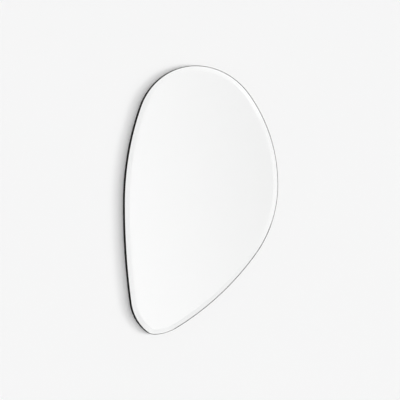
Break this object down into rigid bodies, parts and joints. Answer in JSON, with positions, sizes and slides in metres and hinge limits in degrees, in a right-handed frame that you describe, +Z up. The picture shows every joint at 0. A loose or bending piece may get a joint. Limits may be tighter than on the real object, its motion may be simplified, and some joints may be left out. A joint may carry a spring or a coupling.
{
  "type": "irregular wall mirror",
  "caption": "Irregular rounded wall mirror with a wide bevel in a thin black edge band, hung on keyhole plates let into its backing board.",
  "frame": {"origin": "on the wall plane, at the middle of the mirror's overall width and height", "axes": "+Z up, the mirror faces -Y and the wall is the plane y = 0, +X to the right seen from the front"},
  "size_m": [0.5, 0.0181, 0.8],
  "materials": {
    "black_band": "satin black powder coat on steel strip",
    "pane": "clear float glass, polished bevel",
    "silver": "bright silver in front, grey protective paint behind",
    "board": "bare fine-grained fibreboard",
    "tape": "closed-cell foam tape",
    "adhesive": "cured neutral adhesive",
    "plate": "bright zinc-plated stamping",
    "screw": "zinc-plated, faintly yellow",
    "pad": "dense black felt"
  },
  "bodies": {
    "root": {"edge_band": "black_band", "mirror_glass": "pane", "silver_backing": "silver", "backing_board": "board", "hanger_plate_left": "plate", "hanger_plate_right": "plate", "hanger_screws_left": "screw", "hanger_screws_right": "screw", "band_screws": "screw", "tape_strip_1": "tape", "tape_strip_2": "tape", "tape_strip_3": "tape", "tape_strip_4": "tape", "tape_strip_5": "tape", "adhesive_bead_1": "adhesive", "adhesive_bead_2": "adhesive", "adhesive_bead_3": "adhesive", "adhesive_bead_4": "adhesive", "wall_pad_upper_right": "pad", "wall_pad_upper_left": "pad", "wall_pad_lower_left": "pad", "wall_pad_lower_right": "pad"}
  },
  "joints": []
}
